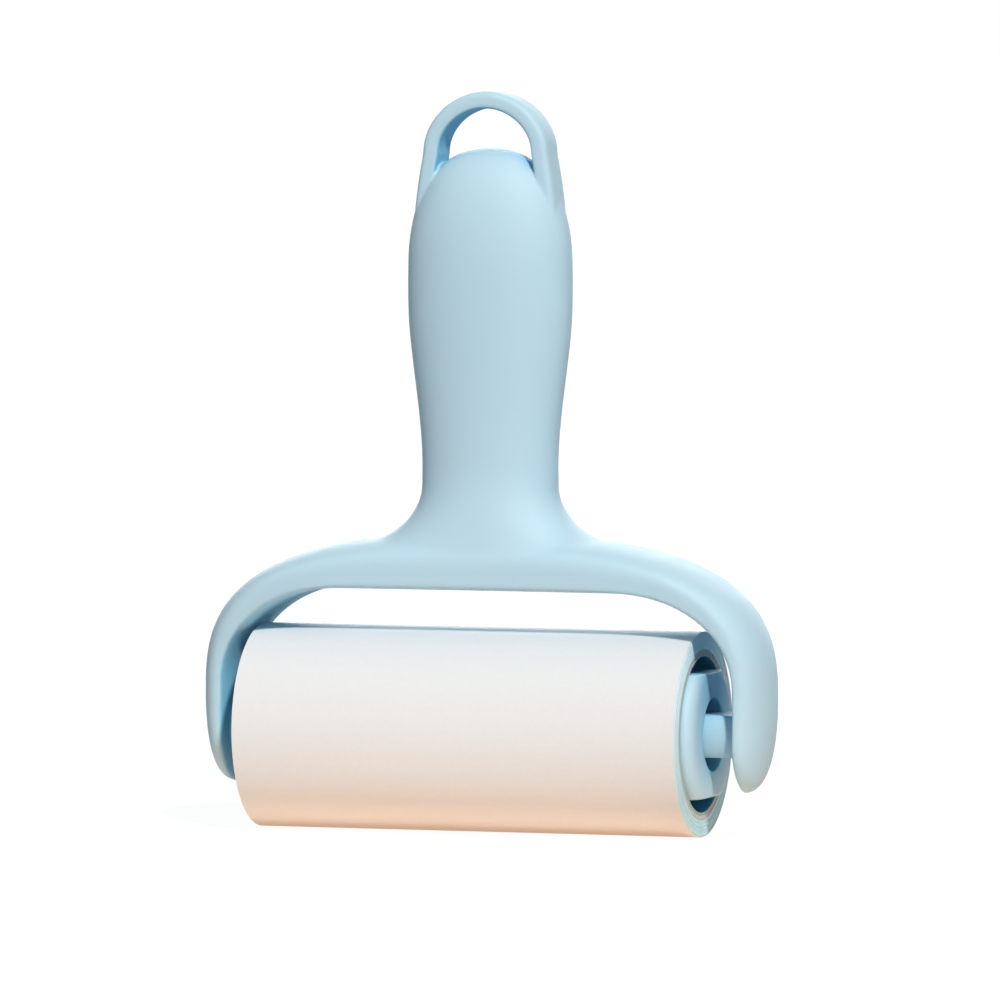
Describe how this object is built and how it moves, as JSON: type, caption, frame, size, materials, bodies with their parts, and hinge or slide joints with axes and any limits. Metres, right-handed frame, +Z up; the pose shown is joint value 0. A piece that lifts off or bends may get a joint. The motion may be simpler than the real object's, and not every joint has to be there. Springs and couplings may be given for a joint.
{
  "type": "lint roller",
  "caption": "Pocket lint roller: one-piece handle with hanging loop and two-armed yoke, carrying a spinning refill roll of tear-off adhesive sheets.",
  "frame": {"origin": "on the ground plane under the middle of the two arms: Z = 0 is the roll's contact line when the handle stands straight up", "axes": "+X along the roll's axis, +Y from the front of the handle to its back, +Z up the handle to the hanging loop"},
  "size_m": [0.078, 0.0272, 0.098],
  "materials": {
    "handle_plastic": "satin powder-blue moulded plastic",
    "hub_plastic": "satin powder-blue moulded plastic",
    "core_board": "spiral-wound kraft board",
    "sheet_paper": "smooth coated white paper, adhesive side out"
  },
  "bodies": {
    "handle": {"handle_frame": "handle_plastic"},
    "roll": {"left_hub": "hub_plastic", "right_hub": "hub_plastic", "core_tube": "core_board", "sheet_01": "sheet_paper", "sheet_02": "sheet_paper", "sheet_03": "sheet_paper", "sheet_04": "sheet_paper", "sheet_05": "sheet_paper", "sheet_06": "sheet_paper", "sheet_07": "sheet_paper", "sheet_08": "sheet_paper", "sheet_09": "sheet_paper", "sheet_10": "sheet_paper", "sheet_11": "sheet_paper", "sheet_12": "sheet_paper", "sheet_13": "sheet_paper", "sheet_14": "sheet_paper", "sheet_15": "sheet_paper", "sheet_16": "sheet_paper", "sheet_17": "sheet_paper", "sheet_18": "sheet_paper", "top_sheet": "sheet_paper"}
  },
  "joints": [
    {"name": "roll_spin", "type": "hinge", "parent": "handle", "child": "roll", "pos_m": [0, 0, 0.01365], "axis": [1, 0, 0], "continuous": true}
  ]
}
